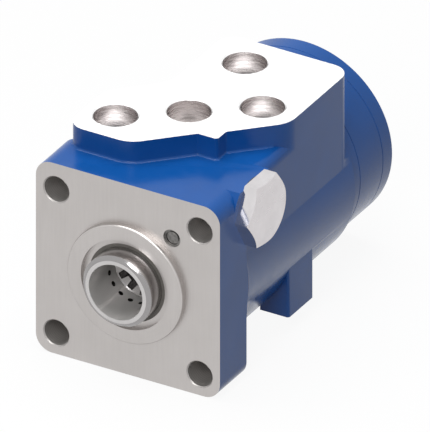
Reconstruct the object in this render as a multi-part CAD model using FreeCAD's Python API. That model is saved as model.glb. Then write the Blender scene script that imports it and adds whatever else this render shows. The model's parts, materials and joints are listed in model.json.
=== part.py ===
import FreeCAD, Part
import math
import os
from FreeCAD import Vector

# Orbital steering unit, millimetres. The steering shaft runs along Y: the mounting face is at
# Y = 0 with the hub in front of it (-Y), the rotor stack is at the back (+Y), the ports look up.

# Mounting flange
flange_half_width = 37.5
flange_top = 39.7
flange_bottom = 37.7
flange_thickness = 18.8
flange_corner = 6.5
bolt_spacing = 58.4
bolt_radius = 5.0
bolt_depth = 11.5
bolt_chamfer = 0.4

# Round boss on the mounting face and the recess round the hub
boss_height = 2.6
boss_base_radius = 23.5
boss_edge = 0.9
recess_width = 3.7
recess_depth = 2.0

# Barrel and the blocks cast on it
barrel_inset = 0.6
housing_rear = 96.6
barrel_flare = 3.0
round_steps = 3
block_left = 32.6
block_right_inset = 2.2
port_face_height = 48.4
block_overlap = 8.0
shelf_edge_round = 4.5
port_block_front = 12.7
diagonal_start = 19.5
step_depth = 1.9
step_width = 8.0
step_front = 30.4
rear_left_wall = 15.4
rear_left_turn = 57.2
wide_round = 11.0
narrow_round = 6.8
step_round = 1.4

# Ports, as X and Y of their centres
port_places = [(-20.9, 27.5), (0.0, 43.2), (20.9, 58.9), (0.0, 82.6)]
port_radius = 8.0
port_thread_depth = 12.0
port_chamfer = 0.6
port_passage_radius = 4.0
inlet_chamber_radius = 6.5

# Foot under the right side
foot_inner = 23.6
foot_front = 52.4
foot_back = 69.8
foot_bottom = 30.7
foot_round = 1.0

# Bore for the valve
main_bore_front = 8.6
groove_width = 5.0
groove_depth = 2.45
front_chamber_gap = 0.9
front_land_gap = 0.2

# General fits
running_clearance = 0.05
seat_clearance = 0.02
face_clearance = 0.04

# Hub and spool
spool_radius = 14.0
hub_front = -8.7
hub_rim_slope = 1.3
hub_rim_chamfer = 1.2
spool_rear = 95.9
spool_rear_chamfer = 0.6
mouth_radius = 10.94
mouth_end = 9.8
spline_teeth = 12
spline_minor = 8.73
spline_major = 10.6
spline_end = 25.0
spline_inner_share = 0.62
spline_outer_share = 0.44
hub_hole_radius = 0.95
hub_hole_count = 16
hub_hole_place = 5.5
cavity_radius = 9.6
cavity_front = 40.0
spool_slot_count = 6
spool_slot_width = 3.6
spool_slot_depth = 1.6
spool_slot_front = 57.0
spool_slot_back = 84.5
twist_limit = 10.0
pin_window_gap = 0.25

# Sleeve
sleeve_wall = 4.95
sleeve_rear_gap = 0.3
sleeve_groove_depth = 0.9
sleeve_groove_width = 4.0
metering_radius = 1.6
metering_count = 4
timing_radius = 1.2
timing_count = 6
timing_place = 89.5

# Cross pin through sleeve, spool and drive shaft
pin_radius = 3.0
pin_place = 48.5
pin_end_gap = 0.2
pin_chamfer = 0.4

# Centering springs
leaf_thickness = 0.45
leaf_count = 3
leaf_bow = 0.8
leaf_gap = 0.02
leaf_width = 6.8
leaf_place = 34.5
leaf_side_gap = 0.1
leaf_end_gap = 0.28
spring_ring_thickness = 0.7
spring_ring_side_gap = 0.2

# Thrust bearing in front of the sleeve
race_thickness = 0.8
race_inner_gap = 0.3
race_outer_gap = 0.25
needle_radius = 1.0
needle_count = 15
needle_end_gap = 0.65
cage_thickness = 0.9
cage_outer_gap = 0.2
cage_inner_gap = 0.1
needle_play = 0.06

# Seals round the hub
dust_seal_height = 1.4
dust_seal_back = 1.2
dust_seal_front_gap = 0.15
shaft_seal_height = 3.6
shaft_seal_front = 1.9
shaft_seal_back = 4.2

# Rotor stack behind the housing
stack_chamfer = 0.25
cap_chamfer = 1.0
spacer_thickness = 6.3
spacer_bore = 10.5
gerotor_width = 16.0
cap_thickness = 7.4
lobe_count = 7
lobe_radius = 6.0
lobe_standoff = 1.3
eccentricity = 2.2
lobe_clearance = 0.05
star_arcs = 48
passage_radius = 1.6
passage_standoff = 2.55
stack_seal_wall = 1.1
stack_seal_width = 1.4
stack_seal_depth = 1.2
pocket_wall = 0.6

# Cap screws, flush in the end cap
screw_wall = 0.55
screw_rim = 6.3
screw_radius = 2.5
screw_hole_radius = 2.75
screw_head_radius = 4.75
screw_engagement = 11.0
screw_head_sink = 0.1
screw_key_flats = 3.0
screw_key_depth = 2.2

# Drive shaft with its fork and spline, and the drive spacer behind it
shaft_head_radius = 8.6
shaft_head_chamfer = 0.6
shaft_head_front = 42.5
shaft_head_back = 55.0
shaft_neck_radius = 6.0
shaft_head_taper = 3.0
drive_teeth = 12
drive_tip_radius = 8.85
drive_root_radius = 7.5
drive_radial_clearance = 0.38
drive_side_clearance = 0.3
drive_spline_front_gap = 0.8
drive_spline_length = 12.0
drive_inner_share = 0.66
drive_outer_share = 0.46
fork_clearance = 0.15
fork_bottom = 0.8
drive_spacer_gap = 0.25
drive_spacer_radius = 7.75

# Passage from the mounting face, closed by a plug
passage_plug_x = 17.9
passage_plug_z = 22.9
passage_plug_radius = 3.45
passage_plug_depth = 6.0
passage_plug_sink = 0.7
passage_plug_dome = 2.2
passage_plug_rim = 0.7
passage_plug_groove = 0.5
cross_passage_radius = 2.0

# Relief valve on the right side
relief_y = 24.4
relief_z = 29.2
relief_boss_radius = 14.6
relief_bore_radius = 6.0
relief_bore_end = 2.0
relief_thread_radius = 9.0
relief_thread_length = 14.0
relief_end_chamfer = 1.0
relief_hex_flats = 24.0
relief_hex_height = 6.0
relief_hex_face_radius = 11.8
relief_hex_slope = 30.0
relief_seal_inner = 9.3
relief_seal_outer = 11.0
relief_seal_depth = 1.3
relief_seat_length = 6.0
relief_seat_hole = 2.2
relief_passage_radius = 2.5
relief_passage_end = -20.0
poppet_radius = 4.6
poppet_length = 5.0
poppet_nose = 2.6
poppet_tip_radius = 0.9
poppet_stem_radius = 2.4
poppet_stem_length = 3.0
relief_wire = 1.0
relief_spring_radius = 3.9
relief_spring_turns = 4.0

# Check ball in the inlet port
ball_radius = 4.0
ball_seat_radius = 3.2
ball_lift = 1.5
retainer_hole_radius = 2.8
retainer_thickness = 3.0
retainer_gap = 0.1
retainer_sink = 0.2

# Sizes and places that follow from the sizes above, from the spool outwards
barrel_radius = flange_half_width - barrel_inset
ball_rise = math.sqrt(ball_radius ** 2 - ball_seat_radius ** 2)
retainer_place = ball_rise + ball_radius + ball_lift + retainer_gap
inlet_chamber_depth = retainer_place + retainer_thickness + retainer_sink
relief_face = flange_half_width
block_right = flange_half_width - block_right_inset
sleeve_bore = spool_radius + running_clearance
sleeve_radius = sleeve_bore + sleeve_wall
main_bore_radius = sleeve_radius + running_clearance
groove_radius = main_bore_radius + groove_depth
recess_radius = spool_radius + recess_width
dust_seal_radius = spool_radius + dust_seal_height
shaft_seal_radius = spool_radius + shaft_seal_height
race_inner = spool_radius + race_inner_gap
race_outer = main_bore_radius - race_outer_gap
needle_middle_radius = (race_inner + race_outer) / 2
needle_length = race_outer - race_inner - 2 * needle_end_gap
leaf_end_radius = sleeve_radius - seat_clearance - spring_ring_thickness - leaf_end_gap
passage_circle = main_bore_radius + passage_standoff
stack_seal_inner = passage_circle + passage_radius + stack_seal_wall
stack_seal_outer = stack_seal_inner + stack_seal_width
pocket_radius = stack_seal_inner - pocket_wall
lobe_circle = pocket_radius + lobe_standoff
screw_circle = stack_seal_outer + screw_wall + screw_hole_radius
stack_radius = screw_circle + screw_rim
stack_ring_front = housing_rear + spacer_thickness
stack_ring_back = stack_ring_front + gerotor_width
stack_back = stack_ring_back + cap_thickness
race_front = main_bore_front
needle_front = race_front + race_thickness
needle_back = needle_front + 2 * needle_radius + needle_play
sleeve_front = needle_back + race_thickness
sleeve_rear = housing_rear - sleeve_rear_gap
spline_middle = stack_ring_front + drive_spline_front_gap + drive_spline_length / 2
shaft_tilt = math.degrees(math.atan(eccentricity / (spline_middle - pin_place)))
leaf_half_height = leaf_count * (leaf_thickness + leaf_gap) + leaf_bow
lobe_step = 360.0 / lobe_count
first_lobe = -90.0

SHAFT_AXIS = Vector(0, 1, 0)
ORIGIN = Vector(0, 0, 0)


def at_angle(radius, degrees, y=0.0):
    """A point at this radius and angle round the shaft axis: 0 is +X and 90 is +Z."""
    turn = math.radians(degrees)
    return Vector(radius * math.cos(turn), y, radius * math.sin(turn))


def disc(radius, front, back, x=0.0, z=0.0):
    """A cylinder along the shaft axis."""
    return Part.makeCylinder(radius, back - front, Vector(x, front, z), SHAFT_AXIS)


def ring(outer, inner, front, back):
    """A flat ring on the shaft axis."""
    return disc(outer, front, back).cut(disc(inner, front - 1, back + 1))


def turned(profile, axis_point=ORIGIN, axis=SHAFT_AXIS, side=Vector(1, 0, 0)):
    """A solid of revolution from (place along the axis, radius) points."""
    points = [axis_point + axis * along + side * radius for along, radius in profile]
    face = Part.Face(Part.makePolygon(points + points[:1]))
    return face.revolve(axis_point, axis, 360)


def rounded_wire(corners, to_space):
    """A closed wire through (u, v, radius) corners, with a tangent arc at each."""
    count = len(corners)
    edges = []
    joints = []
    for index, (u, v, radius) in enumerate(corners):
        corner = Vector(u, v, 0)
        before = Vector(*corners[index - 1][:2], 0) - corner
        after = Vector(*corners[(index + 1) % count][:2], 0) - corner
        before.normalize()
        after.normalize()
        half = before.getAngle(after) / 2
        reach = radius / math.tan(half)
        middle = before + after
        middle.normalize()
        centre = corner + middle * (radius / math.sin(half))
        joints.append((corner + before * reach, centre - middle * radius, corner + after * reach))
    for index, (start, crown, end) in enumerate(joints):
        following = joints[(index + 1) % count][0]
        edges.append(Part.Arc(to_space(start), to_space(crown), to_space(end)).toShape())
        edges.append(Part.LineSegment(to_space(end), to_space(following)).toShape())
    return Part.Wire(edges)


def upright(point, z):
    """Plan coordinates to a point at height z."""
    return Vector(point.x, point.y, z)


def plan_prism(corners, bottom, top):
    """A vertical block with this plan outline."""
    wire = rounded_wire(corners, lambda point: upright(point, bottom))
    return Part.Face(wire).extrude(Vector(0, 0, top - bottom))


def round_copies(shape, count, first=0.0):
    """Copies of a shape, evenly spaced round the shaft axis."""
    copies = []
    for index in range(count):
        copy = shape.copy()
        copy.rotate(ORIGIN, SHAFT_AXIS, -first - index * 360.0 / count)
        copies.append(copy)
    return copies


def radial_hole(radius, inner, outer, y):
    """A drill along +X, for turning to its place with round_copies."""
    return Part.makeCylinder(radius, outer - inner, Vector(inner, y, 0), Vector(1, 0, 0))


def hexagon(flats, start, length, axis, first):
    """A hexagonal prism from start along axis, with its first corner towards first."""
    corner = flats / math.sqrt(3)
    other = axis.cross(first)
    points = []
    for index in range(6):
        turn = math.radians(60 * index)
        points.append(start + first * (corner * math.cos(turn)) + other * (corner * math.sin(turn)))
    return Part.Face(Part.makePolygon(points + points[:1])).extrude(axis * length)


def one_solid(shape):
    """The shape with its split faces joined."""
    clean = shape.removeSplitter()
    if len(clean.Solids) == 1:
        return clean.Solids[0]
    return clean


def long_edges(shape, test):
    """The edges of a shape whose every vertex passes a test."""
    return [edge for edge in shape.Edges if all(test(vertex.Point) for vertex in edge.Vertexes)]


def port_outline():
    """Plan of the port block: two diagonals with a small step between them on the right."""
    diagonal_end = block_right + diagonal_start - step_depth
    step_x = step_front - diagonal_start + step_width
    return [
        (-block_left, port_block_front, narrow_round),
        (port_block_front - diagonal_start, port_block_front, wide_round),
        (step_front - diagonal_start, step_front, step_round),
        (step_x, step_front, step_round),
        (step_x, step_x + diagonal_start - step_depth, step_round),
        (block_right, diagonal_end, wide_round),
        (block_right, housing_rear, narrow_round),
        (-rear_left_wall, housing_rear, narrow_round),
        (-rear_left_wall, rear_left_turn, wide_round),
        (-block_left, rear_left_turn - (block_left - rear_left_wall), wide_round),
    ]


def shelf_outline():
    """Plan of the lower block, which carries the flat shelf between flange and port block."""
    inside_flange = flange_thickness / 2
    return [
        (-block_left, inside_flange, step_round),
        (block_right, inside_flange, step_round),
        (block_right, housing_rear, narrow_round),
        (-rear_left_wall, housing_rear, narrow_round),
        (-rear_left_wall, rear_left_turn, wide_round),
        (-block_left, rear_left_turn - (block_left - rear_left_wall), wide_round),
    ]


def flange_prism(front, back):
    """The square mounting flange between two places on the shaft axis."""
    corners = [
        (-flange_half_width, -flange_bottom, flange_corner),
        (flange_half_width, -flange_bottom, flange_corner),
        (flange_half_width, flange_top, flange_corner),
        (-flange_half_width, flange_top, flange_corner),
    ]
    wire = rounded_wire(corners, lambda point: Vector(point.x, front, point.y))
    return Part.Face(wire).extrude(Vector(0, back - front, 0))


def housing_casting():
    """The outside of the housing: flange, barrel, port block, plug boss and foot."""
    flange = flange_prism(0, flange_thickness)
    barrel = disc(barrel_radius, flange_thickness / 2, housing_rear)

    flare_end = flange_thickness + barrel_flare
    profile = [(flare_end, barrel_radius - barrel_flare), (flange_thickness, barrel_radius - barrel_flare)]
    for backwards, outwards in rounded_profile(barrel_flare):
        profile.append((flange_thickness + backwards, barrel_radius + outwards))
    flare = turned(profile)
    flare = flare.common(flange_prism(0, flare_end))

    shelf = plan_prism(shelf_outline(), 0, flange_top)
    right_edge = long_edges(shelf, lambda p: abs(p.z - flange_top) < 0.01 and abs(p.x - block_right) < 0.01)
    left_edge = long_edges(shelf, lambda p: abs(p.z - flange_top) < 0.01 and abs(p.x + block_left) < 0.01)
    shelf = shelf.makeFillet(shelf_edge_round, right_edge + left_edge)
    port_block = plan_prism(port_outline(), flange_top - block_overlap, port_face_height)

    foot = Part.makeBox(block_right - foot_inner, foot_back - foot_front, foot_bottom,
                        Vector(foot_inner, foot_front, -foot_bottom))
    foot_edges = long_edges(foot, lambda p: abs(p.x - block_right) < 0.01)
    foot_edges = [edge for edge in foot_edges if edge.BoundBox.ZLength > 1]
    foot = foot.makeFillet(foot_round, foot_edges)

    plug_boss = Part.makeCylinder(relief_boss_radius, relief_face - main_bore_radius,
                                  Vector(main_bore_radius, relief_y, relief_z), Vector(1, 0, 0))
    below_shelf = Part.makeBox(3 * flange_half_width, housing_rear, 2 * flange_top,
                               Vector(0, 0, -flange_top))
    plug_boss = plug_boss.common(below_shelf)

    casting = flange.fuse([barrel, flare, shelf, port_block, foot, plug_boss])
    return one_solid(casting)


def rounded_profile(radius):
    """Steps round a quarter circle, as (distance covered, distance left) pairs."""
    steps = []
    for index in range(round_steps + 1):
        turn = math.pi / 2 * index / round_steps
        steps.append((radius * (1 - math.cos(turn)), radius * (1 - math.sin(turn))))
    return steps


def face_boss():
    """The round boss on the mounting face, with its edge rounded."""
    profile = [(1, 0), (1, boss_base_radius)]
    for inwards, forwards in rounded_profile(boss_edge):
        profile.append((forwards - boss_height, boss_base_radius - inwards))
    profile.append((-boss_height, 0))
    return turned(profile)


def hub_bores():
    """What is bored out along the shaft axis, from the recess to the rear face."""
    recess_floor = recess_depth - boss_height
    cuts = [
        disc(recess_radius, -boss_height - 1, recess_floor),
        disc(dust_seal_radius + seat_clearance, recess_floor - 1, dust_seal_back),
        disc(spool_radius + front_land_gap, 0, main_bore_front + 1),
        disc(shaft_seal_radius + seat_clearance, shaft_seal_front, shaft_seal_back),
        disc(spool_radius + front_chamber_gap, shaft_seal_back - 1, hub_hole_place + 2 * hub_hole_radius),
        disc(main_bore_radius, main_bore_front, housing_rear + 1),
    ]
    for _, y in port_places:
        cuts.append(disc(groove_radius, y - groove_width / 2, y + groove_width / 2))
    return cuts


def port_cuts():
    """The four threaded ports with their drillings down to the grooves of the bore."""
    cuts = []
    up = Vector(0, 0, 1)
    thread_floor = port_face_height - port_thread_depth
    for index, (x, y) in enumerate(port_places):
        cuts.append(Part.makeCylinder(port_radius, port_thread_depth + 1, Vector(x, y, thread_floor), up))
        cuts.append(Part.makeCone(port_radius - 0.01, port_radius + port_chamfer, port_chamfer,
                                  Vector(x, y, port_face_height - port_chamfer), up))
        if index == 1:
            chamber_floor = thread_floor - inlet_chamber_depth
            cuts.append(Part.makeCylinder(inlet_chamber_radius, inlet_chamber_depth + 1,
                                          Vector(x, y, chamber_floor), up))
            cuts.append(Part.makeCylinder(ball_seat_radius, chamber_floor, Vector(x, y, 1), up))
        else:
            middle_of_groove = (groove_radius + main_bore_radius) / 2
            inner_side = max(abs(x) - port_passage_radius, 0)
            reach = math.sqrt(middle_of_groove ** 2 - inner_side ** 2)
            cuts.append(Part.makeCylinder(port_passage_radius, thread_floor - reach + 1,
                                          Vector(x, y, reach), up))
            cuts.append(Part.makeCone(port_passage_radius, port_radius - port_chamfer,
                                      port_passage_radius / 2,
                                      Vector(x, y, thread_floor - port_passage_radius / 2 + 0.01), up))
    return cuts


def bolt_cuts():
    """Four tapped holes in the mounting face, with chamfered mouths and drilled bottoms."""
    cuts = []
    half = bolt_spacing / 2
    mouth = bolt_radius + bolt_chamfer
    for x in (-half, half):
        for z in (-half, half):
            cuts.append(turned([(-1, 0), (-1, mouth), (0, mouth), (bolt_chamfer, bolt_radius),
                                (bolt_depth, bolt_radius), (bolt_depth + bolt_radius / 2, 0)],
                               Vector(x, 0, z)))
    return cuts


def relief_cuts():
    """The stepped bore of the relief valve and the passages that feed it."""
    right = Vector(1, 0, 0)
    centre = Vector(0, relief_y, relief_z)
    thread_end = relief_face - relief_thread_length
    seal_groove = Part.makeCylinder(relief_seal_outer + seat_clearance, relief_seal_depth + 1,
                                    centre + right * (relief_face - relief_seal_depth), right)
    seal_core = Part.makeCylinder(relief_seal_inner - seat_clearance, relief_seal_depth + 2,
                                  centre + right * (relief_face - relief_seal_depth - 1), right)
    return [
        seal_groove.cut(seal_core),
        Part.makeCylinder(relief_thread_radius + seat_clearance, relief_thread_length + 1,
                          centre + right * thread_end, right),
        Part.makeCylinder(relief_bore_radius, relief_face - relief_bore_end,
                          centre + right * relief_bore_end, right),
        Part.makeCylinder(relief_passage_radius, relief_bore_end - relief_passage_end + 1,
                          centre + right * relief_passage_end, right),
        disc(passage_plug_radius + seat_clearance, -1, passage_plug_sink + passage_plug_depth,
             passage_plug_x, passage_plug_z),
        disc(cross_passage_radius, 1, relief_y, passage_plug_x, passage_plug_z),
    ]


def rear_cuts():
    """Tapped screw holes, seal groove and rotor passages in the rear face of the housing."""
    cuts = []
    tapped = disc(screw_radius + seat_clearance, housing_rear - screw_engagement - 1, housing_rear + 1,
                  screw_circle)
    cuts += round_copies(tapped, lobe_count, first_lobe)
    cuts.append(ring(stack_seal_outer + seat_clearance, stack_seal_inner - seat_clearance,
                     housing_rear - stack_seal_depth, housing_rear + 1))
    axial = disc(passage_radius, timing_place, housing_rear + 1, passage_circle)
    radial = radial_hole(timing_radius, main_bore_radius - 1, passage_circle, timing_place)
    cuts += round_copies(axial, lobe_count, first_lobe + lobe_step / 2)
    cuts += round_copies(radial, lobe_count, first_lobe + lobe_step / 2)
    return cuts


def make_housing():
    """Casting and machining together."""
    casting = housing_casting().fuse(face_boss())
    cuts = hub_bores() + port_cuts() + bolt_cuts() + relief_cuts() + rear_cuts()
    return one_solid(casting.cut(cuts))


def make_passage_plug():
    """A short round plug with a ring groove in its face, pressed into the passage mouth."""
    front = passage_plug_sink
    back = passage_plug_sink + passage_plug_depth
    plug = disc(passage_plug_radius, front, back, passage_plug_x, passage_plug_z)
    outside = disc(passage_plug_radius - passage_plug_rim, front - 1, front + passage_plug_groove,
                   passage_plug_x, passage_plug_z)
    inside = disc(passage_plug_dome, front - 2, front + 1, passage_plug_x, passage_plug_z)
    return plug.cut(outside.cut(inside))


def make_relief_plug():
    """Hexagon head with a chamfered face, threaded shank and a flat end for the spring."""
    right = Vector(1, 0, 0)
    centre = Vector(0, relief_y, relief_z)
    head = hexagon(relief_hex_flats, centre + right * relief_face, relief_hex_height, right,
                   Vector(0, 1, 0))
    corner = relief_hex_flats / math.sqrt(3)
    slope = (corner - relief_hex_face_radius) * math.tan(math.radians(relief_hex_slope))
    end = relief_face + relief_hex_height
    crown = turned([(relief_face - 1, 0), (relief_face - 1, corner + 1), (end - slope, corner + 0.02),
                    (end, relief_hex_face_radius), (end, 0)], centre, right, Vector(0, 1, 0))
    start = relief_face - relief_thread_length
    shank = turned([(start, 0), (start, relief_thread_radius - relief_end_chamfer),
                    (start + relief_end_chamfer, relief_thread_radius), (relief_face, relief_thread_radius),
                    (relief_face, 0)], centre, right, Vector(0, 1, 0))
    return one_solid(head.common(crown).fuse(shank))


def make_relief_plug_seal():
    """Square-section ring in the groove under the hexagon."""
    start = relief_face - relief_seal_depth
    return turned([(start, relief_seal_inner), (start, relief_seal_outer),
                   (relief_face, relief_seal_outer), (relief_face, relief_seal_inner)],
                  Vector(0, relief_y, relief_z), Vector(1, 0, 0), Vector(0, 1, 0))


def make_relief_seat():
    """Bush at the bottom of the relief bore."""
    radius = relief_bore_radius - seat_clearance
    end = relief_bore_end + relief_seat_length
    return turned([(relief_bore_end, relief_seat_hole), (relief_bore_end, radius),
                   (end, radius), (end, relief_seat_hole)],
                  Vector(0, relief_y, relief_z), Vector(1, 0, 0), Vector(0, 1, 0))


def make_relief_poppet():
    """Cone-nosed poppet whose stem centres the spring."""
    seat_face = relief_bore_end + relief_seat_length + face_clearance
    back = seat_face + poppet_length
    return turned([(seat_face - poppet_nose, 0), (seat_face - poppet_nose, poppet_tip_radius),
                   (seat_face, relief_seat_hole - running_clearance), (seat_face, poppet_radius),
                   (back, poppet_radius), (back, poppet_stem_radius),
                   (back + poppet_stem_length, poppet_stem_radius), (back + poppet_stem_length, 0)],
                  Vector(0, relief_y, relief_z), Vector(1, 0, 0), Vector(0, 1, 0))


def make_relief_spring():
    """Square-wire coil between the poppet's shoulder and the plug."""
    start = relief_bore_end + relief_seat_length + face_clearance + poppet_length + face_clearance
    end = relief_face - relief_thread_length - face_clearance
    middle = relief_spring_radius
    half = relief_wire / 2
    pitch = (end - start - relief_wire) / relief_spring_turns
    path = Part.makeHelix(pitch, pitch * relief_spring_turns, middle)
    section = Part.makePolygon([Vector(middle - half, 0, -half), Vector(middle + half, 0, -half),
                                Vector(middle + half, 0, half), Vector(middle - half, 0, half),
                                Vector(middle - half, 0, -half)])
    coil = Part.Wire(path).makePipeShell([section], True, True)
    coil.rotate(ORIGIN, Vector(0, 1, 0), 90)
    coil.translate(Vector(start + half, relief_y, relief_z))
    return coil


def make_dust_seal():
    """Wiper ring that shows as a dark line round the hub."""
    floor = recess_depth - boss_height
    return ring(dust_seal_radius, sleeve_bore, floor + dust_seal_front_gap, dust_seal_back)


def make_shaft_seal():
    """Pressure seal behind the wiper."""
    return ring(shaft_seal_radius, sleeve_bore, shaft_seal_front, shaft_seal_back)


def make_race(front):
    """One flat race of the thrust bearing."""
    return ring(race_outer, race_inner, front, front + race_thickness)


def make_needles():
    """The needles of the thrust bearing, lying radially."""
    middle = (needle_front + needle_back) / 2
    needle = radial_hole(needle_radius, needle_middle_radius - needle_length / 2,
                         needle_middle_radius + needle_length / 2, middle)
    return Part.makeCompound(round_copies(needle, needle_count))


def make_cage():
    """Flat cage with one window for each needle."""
    middle = (needle_front + needle_back) / 2
    cage = ring(race_outer - cage_outer_gap, race_inner + cage_inner_gap,
                middle - cage_thickness / 2, middle + cage_thickness / 2)
    length = needle_length + 2 * seat_clearance
    width = 2 * (needle_radius + seat_clearance)
    window = Part.makeBox(length, 2 * cage_thickness, width,
                          Vector(needle_middle_radius - length / 2, middle - cage_thickness, -width / 2))
    return cage.cut(round_copies(window, needle_count))


def make_spool():
    """Hollow spool: hub with mouth and spline in front, cavity for the drive shaft behind."""
    body = turned([(hub_front, 0), (hub_front, spool_radius - hub_rim_slope),
                   (hub_front + hub_rim_chamfer, spool_radius),
                   (spool_rear - spool_rear_chamfer, spool_radius),
                   (spool_rear, spool_radius - spool_rear_chamfer), (spool_rear, 0)])
    lead_in = mouth_radius - spline_minor
    cuts = [
        turned([(hub_front - 1, 0), (hub_front - 1, mouth_radius), (mouth_end, mouth_radius),
                (mouth_end + lead_in, spline_minor), (mouth_end + lead_in, 0)]),
        disc(cavity_radius, cavity_front, spool_rear + 1),
        splined_hole(spline_teeth, spline_minor, spline_major, mouth_end - 1, spline_end),
    ]
    hub_hole = radial_hole(hub_hole_radius, mouth_radius - 1, spool_radius + 1, hub_hole_place)
    cuts += round_copies(hub_hole, hub_hole_count, 360.0 / hub_hole_count / 2)
    height = 2 * (leaf_half_height + running_clearance)
    width = leaf_width + 2 * leaf_side_gap
    cuts.append(Part.makeBox(4 * spool_radius, width, height,
                             Vector(-2 * spool_radius, leaf_place - width / 2, -height / 2)))
    window = pin_radius + spool_radius * math.sin(math.radians(twist_limit)) + pin_window_gap
    cuts.append(Part.makeCylinder(window, 4 * spool_radius, Vector(0, pin_place, -2 * spool_radius)))
    slot = Part.makeBox(spool_slot_depth + 1, spool_slot_back - spool_slot_front, spool_slot_width,
                        Vector(spool_radius - spool_slot_depth, spool_slot_front, -spool_slot_width / 2))
    cuts += round_copies(slot, spool_slot_count, 360.0 / spool_slot_count / 2)
    return one_solid(body.cut(cuts))


def splined_outline(teeth, inner, outer, share_inner, share_outer, y):
    """A closed spline outline: one flank pair and two arcs for each tooth."""
    step = 360.0 / teeth
    edges = []
    for index in range(teeth):
        middle = 90.0 + index * step
        inner_half = share_inner * step / 2
        outer_half = share_outer * step / 2
        a = at_angle(inner, middle - inner_half, y)
        b = at_angle(outer, middle - outer_half, y)
        c = at_angle(outer, middle + outer_half, y)
        d = at_angle(inner, middle + inner_half, y)
        following = at_angle(inner, middle + step - inner_half, y)
        edges.append(Part.LineSegment(a, b).toShape())
        edges.append(Part.Arc(b, at_angle(outer, middle, y), c).toShape())
        edges.append(Part.LineSegment(c, d).toShape())
        edges.append(Part.Arc(d, at_angle(inner, middle + step / 2, y), following).toShape())
    return Part.Wire(edges)


def splined_hole(teeth, minor, major, front, back):
    """The space inside an internal spline."""
    outline = splined_outline(teeth, minor, major, spline_inner_share, spline_outer_share, front)
    return Part.Face(outline).extrude(Vector(0, back - front, 0))


def make_sleeve():
    """Valve sleeve with ring grooves, metering holes and the slot for the springs."""
    body = ring(sleeve_radius, sleeve_bore, sleeve_front, sleeve_rear)
    cuts = []
    rows = [port_places[0][1], port_places[2][1]]
    for y in rows:
        cuts.append(ring(sleeve_radius + 1, sleeve_radius - sleeve_groove_depth,
                         y - sleeve_groove_width / 2, y + sleeve_groove_width / 2))
        hole = radial_hole(metering_radius, sleeve_bore - 1, sleeve_radius + 1, y)
        cuts += round_copies(hole, metering_count, 360.0 / metering_count / 2)
    timing = radial_hole(timing_radius, sleeve_bore - 1, sleeve_radius + 1, timing_place)
    cuts += round_copies(timing, timing_count, 360.0 / timing_count / 2)
    ring_half = leaf_width / 2 + leaf_side_gap + spring_ring_side_gap
    cuts.append(ring(sleeve_radius + 1, sleeve_radius - spring_ring_thickness - 2 * seat_clearance,
                     leaf_place - ring_half, leaf_place + ring_half))
    height = 2 * (leaf_half_height + running_clearance)
    width = leaf_width + 2 * leaf_side_gap
    cuts.append(Part.makeBox(4 * sleeve_radius, width, height,
                             Vector(-2 * sleeve_radius, leaf_place - width / 2, -height / 2)))
    cuts.append(Part.makeCylinder(pin_radius + seat_clearance, 4 * sleeve_radius,
                                  Vector(0, pin_place, -2 * sleeve_radius)))
    return one_solid(body.cut(cuts))


def make_spring_ring():
    """Thin ring round the sleeve that keeps the centering springs in."""
    half = leaf_width / 2 + leaf_side_gap
    outer = sleeve_radius - seat_clearance
    return ring(outer, outer - spring_ring_thickness, leaf_place - half, leaf_place + half)


def make_centering_springs():
    """Two packs of bowed leaves, back to back across spool and sleeve."""
    reach = math.sqrt(leaf_end_radius ** 2 - leaf_half_height ** 2)
    front = leaf_place - leaf_width / 2
    leaves = []
    for index in range(leaf_count):
        low = leaf_gap / 2 + index * (leaf_thickness + leaf_gap)
        high = low + leaf_thickness
        start = Vector(-reach, front, low + leaf_bow)
        end = Vector(reach, front, low + leaf_bow)
        start_top = Vector(-reach, front, high + leaf_bow)
        end_top = Vector(reach, front, high + leaf_bow)
        wire = Part.Wire([
            Part.Arc(start, Vector(0, front, low), end).toShape(),
            Part.LineSegment(end, end_top).toShape(),
            Part.Arc(end_top, Vector(0, front, high), start_top).toShape(),
            Part.LineSegment(start_top, start).toShape(),
        ])
        leaf = Part.Face(wire).extrude(Vector(0, leaf_width, 0))
        leaves.append(leaf)
        leaves.append(leaf.mirror(ORIGIN, Vector(0, 0, 1)))
    return Part.makeCompound(leaves)


def make_cross_pin():
    """Pin through sleeve, spool and drive shaft."""
    half = sleeve_radius - pin_end_gap
    return turned([(-half, 0), (-half, pin_radius - pin_chamfer), (pin_chamfer - half, pin_radius),
                   (half - pin_chamfer, pin_radius), (half, pin_radius - pin_chamfer), (half, 0)],
                  Vector(0, pin_place, 0), Vector(0, 0, 1), Vector(1, 0, 0))


def make_spacer_plate():
    """Plate between housing and rotor, with one passage for each rotor pocket."""
    plate = chamfered_disc(housing_rear, stack_ring_front)
    hole = disc(screw_hole_radius, housing_rear - 1, stack_ring_front + 1, screw_circle)
    passage = disc(passage_radius, housing_rear - 1, stack_ring_front + 1, passage_circle)
    cuts = [disc(spacer_bore, housing_rear - 1, stack_ring_front + 1)]
    cuts += round_copies(hole, lobe_count, first_lobe)
    cuts += round_copies(passage, lobe_count, first_lobe + lobe_step / 2)
    return plate.cut(cuts)


def chamfered_disc(front, back):
    """A disc of the rotor stack with its edges broken."""
    edge = stack_chamfer
    return turned([(front, 0), (front, stack_radius - edge), (front + edge, stack_radius),
                   (back - edge, stack_radius), (back, stack_radius - edge), (back, 0)])


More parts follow.
